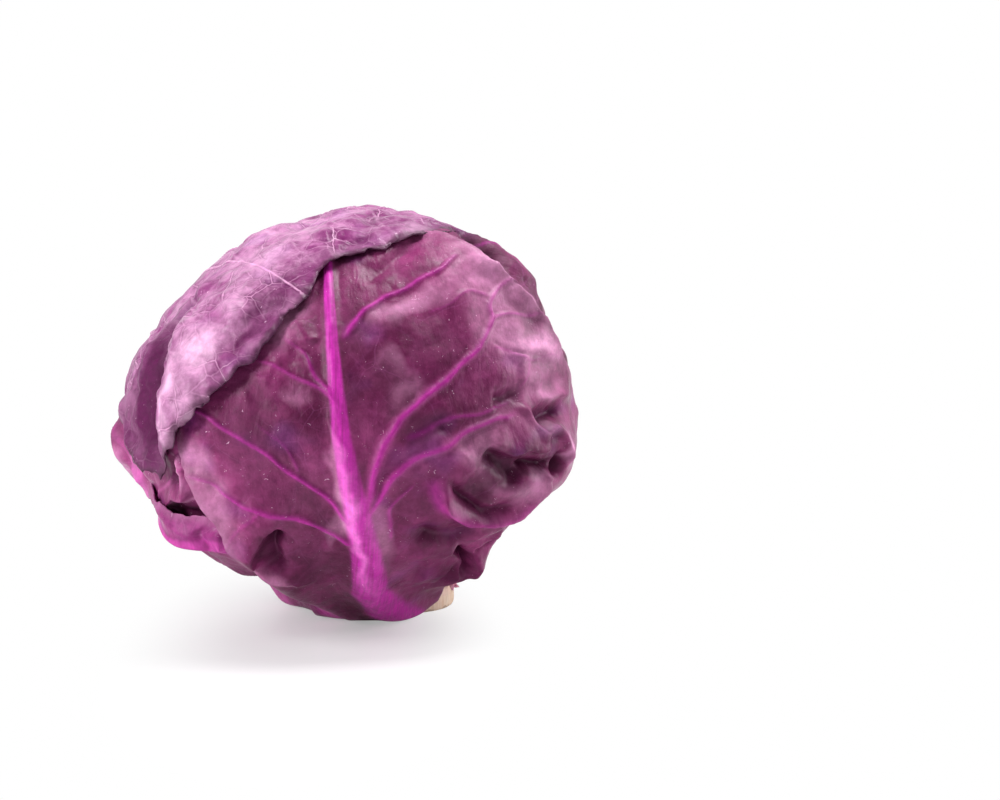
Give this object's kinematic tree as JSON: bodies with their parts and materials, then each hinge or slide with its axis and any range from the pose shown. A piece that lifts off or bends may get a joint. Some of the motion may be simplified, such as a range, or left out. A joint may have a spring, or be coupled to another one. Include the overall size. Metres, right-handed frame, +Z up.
{
  "type": "red cabbage",
  "caption": "Whole head of red cabbage standing on its cut stump, with loose crinkled purple outer leaves wrapped one over another.",
  "frame": {"origin": "centre of the stump's flat cut face, on the surface the head stands on", "axes": "+Z up out of the surface, -Y towards the front leaf with its broad midrib, +X to the right of that leaf"},
  "size_m": [0.16, 0.1556, 0.1389],
  "materials": {
    "stem": "cut, damp, fibrous",
    "inner_head": "smooth, waxy",
    "leaf": "waxy, satin, veined and crinkled",
    "bloomed_leaf": "pale waxy bloom over purple, veined and crinkled"
  },
  "bodies": {
    "root": {"stump": "stem", "heart": "inner_head", "lower_left_leaf": "leaf", "back_leaf": "leaf", "lower_right_leaf": "leaf", "left_leaf": "leaf", "left_fold_leaf": "leaf", "right_leaf": "leaf", "front_leaf": "leaf", "crown_leaf": "bloomed_leaf"}
  },
  "joints": []
}
